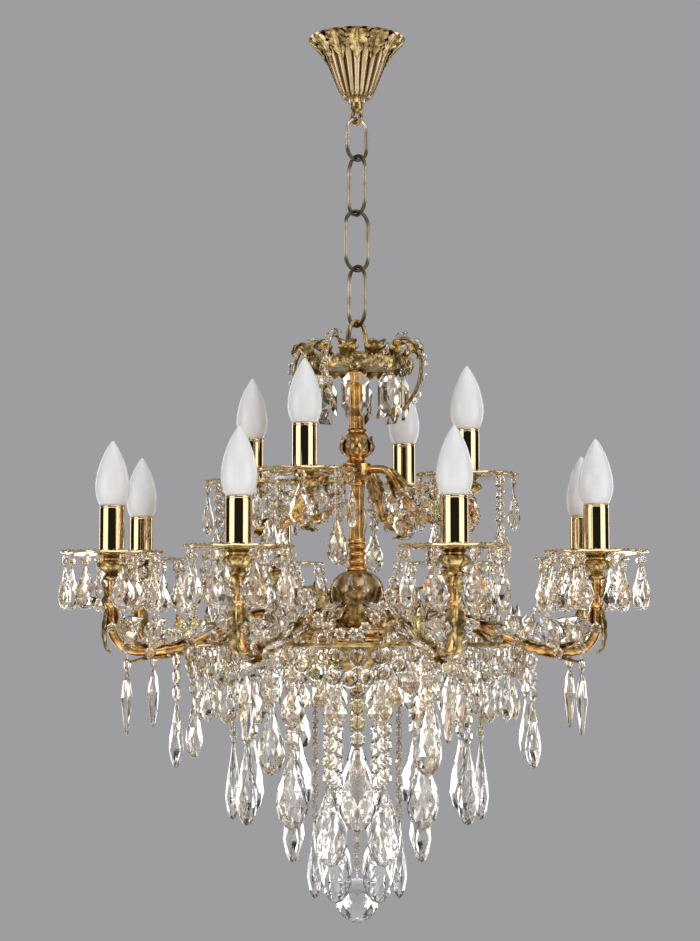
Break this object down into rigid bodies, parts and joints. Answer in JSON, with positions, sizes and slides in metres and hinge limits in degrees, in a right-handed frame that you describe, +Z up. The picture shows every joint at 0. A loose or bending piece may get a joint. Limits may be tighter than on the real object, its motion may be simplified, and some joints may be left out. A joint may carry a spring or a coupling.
{
  "type": "crystal chandelier",
  "caption": "Two-tier candle chandelier in gold and brass with cut-glass drops, bead strands and swags, hung by a chain from a fluted ceiling canopy.",
  "frame": {"origin": "centre of the ceiling bracket's two screw slots, in the plane of the ceiling", "axes": "+Z up into the ceiling, X along the bracket, -Y towards the viewer"},
  "size_m": [0.6044, 0.6044, 0.941],
  "materials": {
    "zinc_steel": "zinc plated",
    "terminal_plastic": "moulded",
    "polished_gold": "polished gold plate",
    "antique_gold": "cast, antique gold",
    "pale_brass": "pale brass plate",
    "rod_steel": "plain steel tube",
    "copper_gold": "copper-gold plate",
    "amber_vase": "amber-brown enamel",
    "holder_plastic": "moulded",
    "opal_glass": "opal, matt",
    "crystal": "cut and polished"
  },
  "bodies": {
    "ceiling_mount": {"ceiling_bracket": "zinc_steel", "threaded_nipple": "zinc_steel", "nipple_nuts": "zinc_steel", "terminal_block": "terminal_plastic", "canopy": "polished_gold", "canopy_leaves": "antique_gold", "canopy_ring_nut": "polished_gold", "hanger_eye": "antique_gold"},
    "chain_link_1": {"chain_link_1": "pale_brass"},
    "chain_link_2": {"chain_link_2": "pale_brass"},
    "chain_link_3": {"chain_link_3": "pale_brass"},
    "chain_link_4": {"chain_link_4": "pale_brass"},
    "chandelier": {"arm_hub": "copper_gold", "basket_hoops": "antique_gold", "body_loop": "antique_gold", "bottom_finial": "antique_gold", "candle_cups": "antique_gold", "candle_sleeves": "polished_gold", "crown_leaves": "antique_gold", "crown_plate": "antique_gold", "crown_scrolls": "antique_gold", "drip_pans": "polished_gold", "hub_leaves": "antique_gold", "lampholders": "holder_plastic", "lower_arms": "copper_gold", "lower_dish": "antique_gold", "lower_pan_drops": "crystal", "neck": "copper_gold", "scroll_glass": "crystal", "small_beads": "crystal", "small_drops": "crystal", "stem_leaves": "antique_gold", "stem_rod": "rod_steel", "stem_sleeves": "copper_gold", "strand_beads": "crystal", "strand_drops": "crystal", "upper_arms": "copper_gold", "upper_hub": "copper_gold", "vase": "amber_vase"},
    "bulb_1": {"bulb_1": "opal_glass"},
    "bulb_2": {"bulb_2": "opal_glass"},
    "bulb_3": {"bulb_3": "opal_glass"},
    "bulb_4": {"bulb_4": "opal_glass"},
    "bulb_5": {"bulb_5": "opal_glass"},
    "bulb_6": {"bulb_6": "opal_glass"},
    "bulb_7": {"bulb_7": "opal_glass"},
    "bulb_8": {"bulb_8": "opal_glass"},
    "bulb_9": {"bulb_9": "opal_glass"},
    "bulb_10": {"bulb_10": "opal_glass"},
    "bulb_11": {"bulb_11": "opal_glass"},
    "bulb_12": {"bulb_12": "opal_glass"},
    "arm_drop_1": {"arm_drop_1": "crystal"},
    "arm_drop_2": {"arm_drop_2": "crystal"},
    "arm_drop_3": {"arm_drop_3": "crystal"},
    "arm_drop_4": {"arm_drop_4": "crystal"},
    "arm_drop_5": {"arm_drop_5": "crystal"},
    "arm_drop_6": {"arm_drop_6": "crystal"},
    "arm_drop_7": {"arm_drop_7": "crystal"},
    "arm_drop_8": {"arm_drop_8": "crystal"},
    "bottom_ball": {"bottom_ball": "crystal"}
  },
  "joints": [
    {"name": "chain_link_1_swing", "type": "hinge", "parent": "ceiling_mount", "child": "chain_link_1", "pos_m": [0, 0, -0.09205], "axis": [-0.5736, 0.8192, 0], "range_deg": [-20, 20]},
    {"name": "chain_link_2_swing", "type": "hinge", "parent": "chain_link_1", "child": "chain_link_2", "pos_m": [0, 0, -0.13205], "axis": [0.8192, 0.5736, 0], "range_deg": [-20, 20]},
    {"name": "chain_link_3_swing", "type": "hinge", "parent": "chain_link_2", "child": "chain_link_3", "pos_m": [0, 0, -0.19225], "axis": [-0.5736, 0.8192, 0], "range_deg": [-20, 20]},
    {"name": "chain_link_4_swing", "type": "hinge", "parent": "chain_link_3", "child": "chain_link_4", "pos_m": [0, 0, -0.25245], "axis": [-0.8192, -0.5736, 0], "range_deg": [-20, 20]},
    {"name": "chandelier_swing", "type": "hinge", "parent": "chain_link_4", "child": "chandelier", "pos_m": [0, 0, -0.31265], "axis": [0.5736, -0.8192, 0], "range_deg": [-20, 20]},
    {"name": "bulb_1_turn", "type": "hinge", "parent": "chandelier", "child": "bulb_1", "pos_m": [-0.11199, -0.24017, -0.51085], "axis": [0, 0, 1], "continuous": true},
    {"name": "bulb_2_turn", "type": "hinge", "parent": "chandelier", "child": "bulb_2", "pos_m": [0.09063, -0.24902, -0.51085], "axis": [0, 0, 1], "continuous": true},
    {"name": "bulb_3_turn", "type": "hinge", "parent": "chandelier", "child": "bulb_3", "pos_m": [0.24017, -0.11199, -0.51085], "axis": [0, 0, 1], "continuous": true},
    {"name": "bulb_4_turn", "type": "hinge", "parent": "chandelier", "child": "bulb_4", "pos_m": [0.24902, 0.09063, -0.51085], "axis": [0, 0, 1], "continuous": true},
    {"name": "bulb_5_turn", "type": "hinge", "parent": "chandelier", "child": "bulb_5", "pos_m": [0.11199, 0.24017, -0.51085], "axis": [0, 0, 1], "continuous": true},
    {"name": "bulb_6_turn", "type": "hinge", "parent": "chandelier", "child": "bulb_6", "pos_m": [-0.09063, 0.24902, -0.51085], "axis": [0, 0, 1], "continuous": true},
    {"name": "bulb_7_turn", "type": "hinge", "parent": "chandelier", "child": "bulb_7", "pos_m": [-0.24017, 0.11199, -0.51085], "axis": [0, 0, 1], "continuous": true},
    {"name": "bulb_8_turn", "type": "hinge", "parent": "chandelier", "child": "bulb_8", "pos_m": [-0.24902, -0.09063, -0.51085], "axis": [0, 0, 1], "continuous": true},
    {"name": "bulb_9_turn", "type": "hinge", "parent": "chandelier", "child": "bulb_9", "pos_m": [-0.05325, -0.1142, -0.42885], "axis": [0, 0, 1], "continuous": true},
    {"name": "bulb_10_turn", "type": "hinge", "parent": "chandelier", "child": "bulb_10", "pos_m": [0.1142, -0.05325, -0.42885], "axis": [0, 0, 1], "continuous": true},
    {"name": "bulb_11_turn", "type": "hinge", "parent": "chandelier", "child": "bulb_11", "pos_m": [0.05325, 0.1142, -0.42885], "axis": [0, 0, 1], "continuous": true},
    {"name": "bulb_12_turn", "type": "hinge", "parent": "chandelier", "child": "bulb_12", "pos_m": [-0.1142, 0.05325, -0.42885], "axis": [0, 0, 1], "continuous": true},
    {"name": "arm_drop_1_swing", "type": "hinge", "parent": "chandelier", "child": "arm_drop_1", "pos_m": [-0.10483, -0.2248, -0.66159], "axis": [0.9063, -0.4226, 0], "range_deg": [-25, 25]},
    {"name": "arm_drop_2_swing", "type": "hinge", "parent": "chandelier", "child": "arm_drop_2", "pos_m": [0.08483, -0.23308, -0.66159], "axis": [0.9397, 0.342, 0], "range_deg": [-25, 25]},
    {"name": "arm_drop_3_swing", "type": "hinge", "parent": "chandelier", "child": "arm_drop_3", "pos_m": [0.2248, -0.10483, -0.66159], "axis": [0.4226, 0.9063, 0], "range_deg": [-25, 25]},
    {"name": "arm_drop_4_swing", "type": "hinge", "parent": "chandelier", "child": "arm_drop_4", "pos_m": [0.23308, 0.08483, -0.66159], "axis": [-0.342, 0.9397, 0], "range_deg": [-25, 25]},
    {"name": "arm_drop_5_swing", "type": "hinge", "parent": "chandelier", "child": "arm_drop_5", "pos_m": [0.10483, 0.2248, -0.66159], "axis": [-0.9063, 0.4226, 0], "range_deg": [-25, 25]},
    {"name": "arm_drop_6_swing", "type": "hinge", "parent": "chandelier", "child": "arm_drop_6", "pos_m": [-0.08483, 0.23308, -0.66159], "axis": [-0.9397, -0.342, 0], "range_deg": [-25, 25]},
    {"name": "arm_drop_7_swing", "type": "hinge", "parent": "chandelier", "child": "arm_drop_7", "pos_m": [-0.2248, 0.10483, -0.66159], "axis": [-0.4226, -0.9063, 0], "range_deg": [-25, 25]},
    {"name": "arm_drop_8_swing", "type": "hinge", "parent": "chandelier", "child": "arm_drop_8", "pos_m": [-0.23308, -0.08483, -0.66159], "axis": [0.342, -0.9397, 0], "range_deg": [-25, 25]},
    {"name": "bottom_ball_swing", "type": "hinge", "parent": "chandelier", "child": "bottom_ball", "pos_m": [0, 0, -0.89105], "axis": [1, 0, 0], "range_deg": [-25, 25]}
  ]
}
